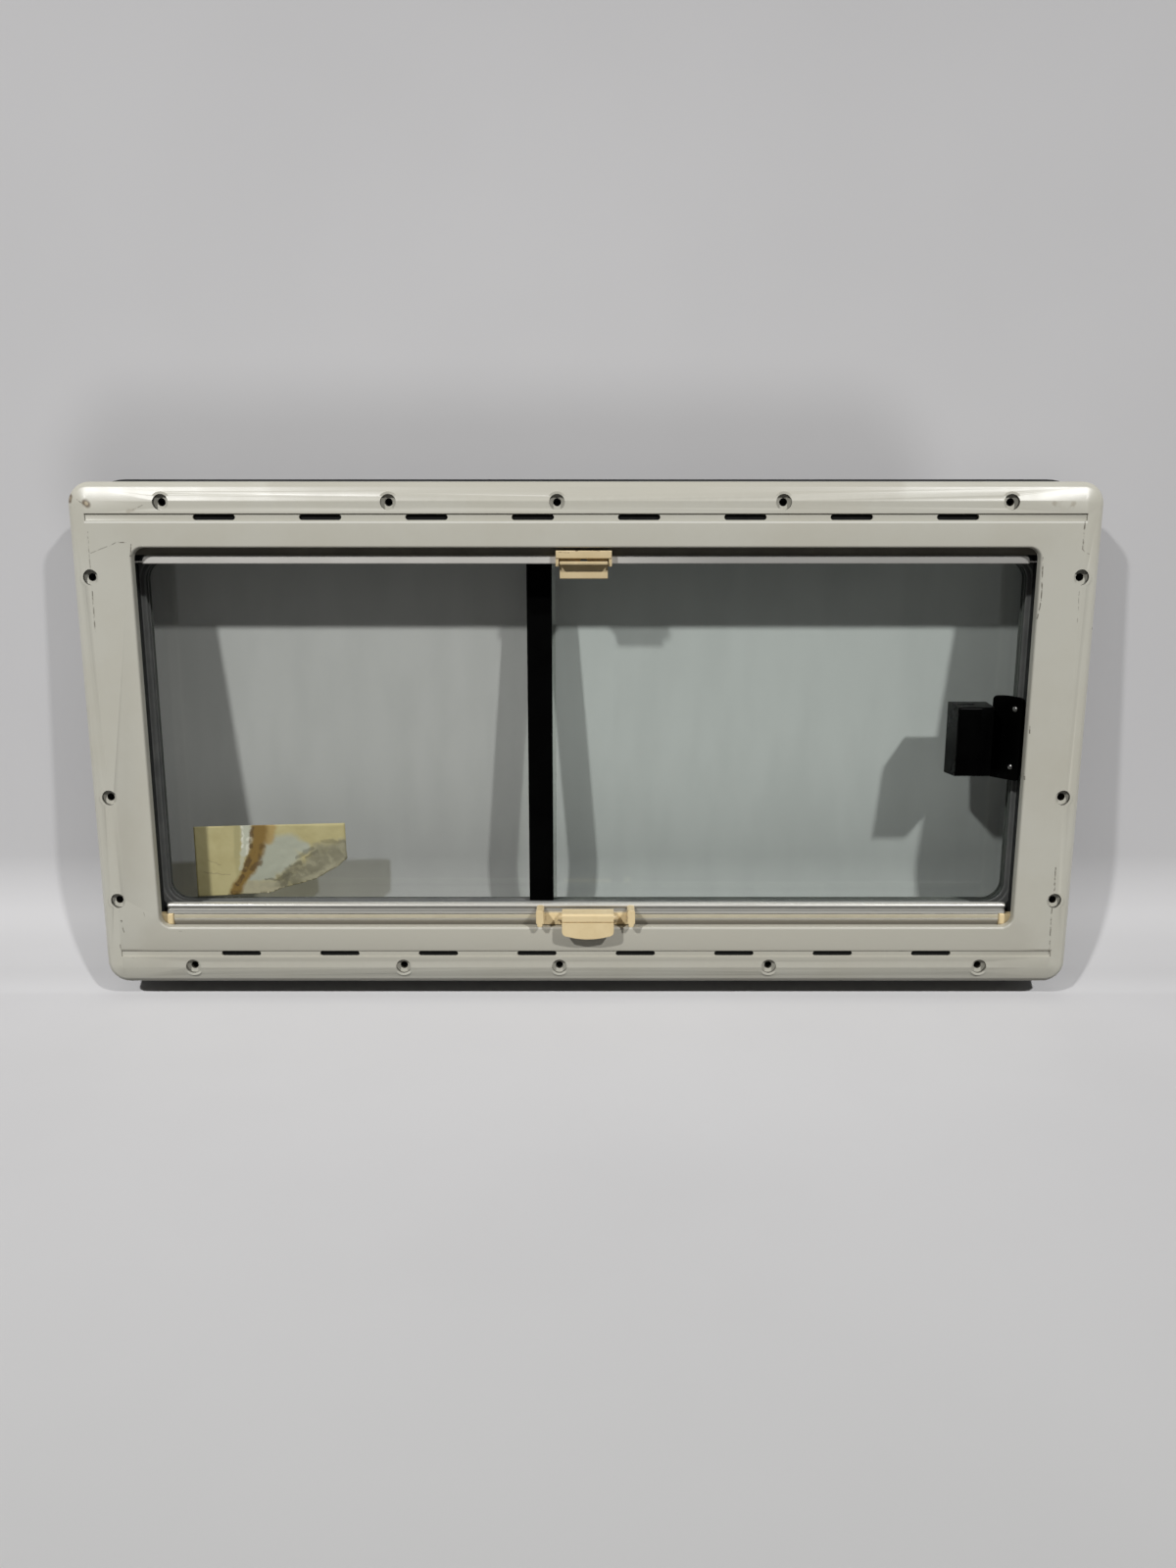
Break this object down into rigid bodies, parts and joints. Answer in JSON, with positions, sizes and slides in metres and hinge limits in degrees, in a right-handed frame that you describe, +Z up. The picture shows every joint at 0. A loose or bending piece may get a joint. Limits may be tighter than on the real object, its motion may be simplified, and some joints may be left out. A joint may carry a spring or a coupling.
{
  "type": "caravan sliding window",
  "caption": "Framed sliding caravan window: moulded inner bezel with screw holes and vent slots, fixed and sliding pane, latch, roller blind and fly screen bars.",
  "frame": {"origin": "middle of the outer flange's seating face, on the wall's outer skin", "axes": "+X to the right seen from inside, +Y to the outside, +Z up"},
  "size_m": [0.936, 0.0725, 0.476],
  "materials": {
    "bezel_plastic": "off-white moulded plastic with a fine satin grain",
    "frame_black": "black moulded frame, satin",
    "seal_rubber": "dark grey glazing rubber",
    "pane_glass": "lightly tinted clear sheet",
    "strip_black": "black meeting strip",
    "guide_black": "black guide channel",
    "cassette_metal": "dark painted sheet",
    "blind_cloth": "pale blackout cloth",
    "screen_mesh": "dark insect mesh",
    "blind_bar_grey": "light grey satin bar",
    "bar_aluminium": "drawn, satin",
    "cream_plastic": "yellowed cream moulding",
    "latch_black": "black moulding"
  },
  "bodies": {
    "root": {"bezel": "bezel_plastic", "outer_frame": "frame_black", "glazing_seal": "seal_rubber", "fixed_pane": "pane_glass", "sliding_pane": "pane_glass", "meeting_strip": "strip_black", "right_guide": "guide_black", "left_guide": "guide_black", "blind_cassette": "cassette_metal", "screen_cassette": "cassette_metal", "blind_roll": "blind_cloth", "blind_sheet": "blind_cloth", "screen_roll": "screen_mesh", "screen_sheet": "screen_mesh", "blind_bar": "blind_bar_grey", "screen_bar": "bar_aluminium", "blind_handle_clip": "cream_plastic", "blind_handle_grip": "cream_plastic", "screen_bar_insert": "cream_plastic", "screen_cap_right": "cream_plastic", "screen_cap_left": "cream_plastic", "screen_handle_carrier": "cream_plastic", "screen_handle_plate": "cream_plastic", "latch_body": "latch_black", "latch_keeper": "latch_black"}
  },
  "joints": []
}
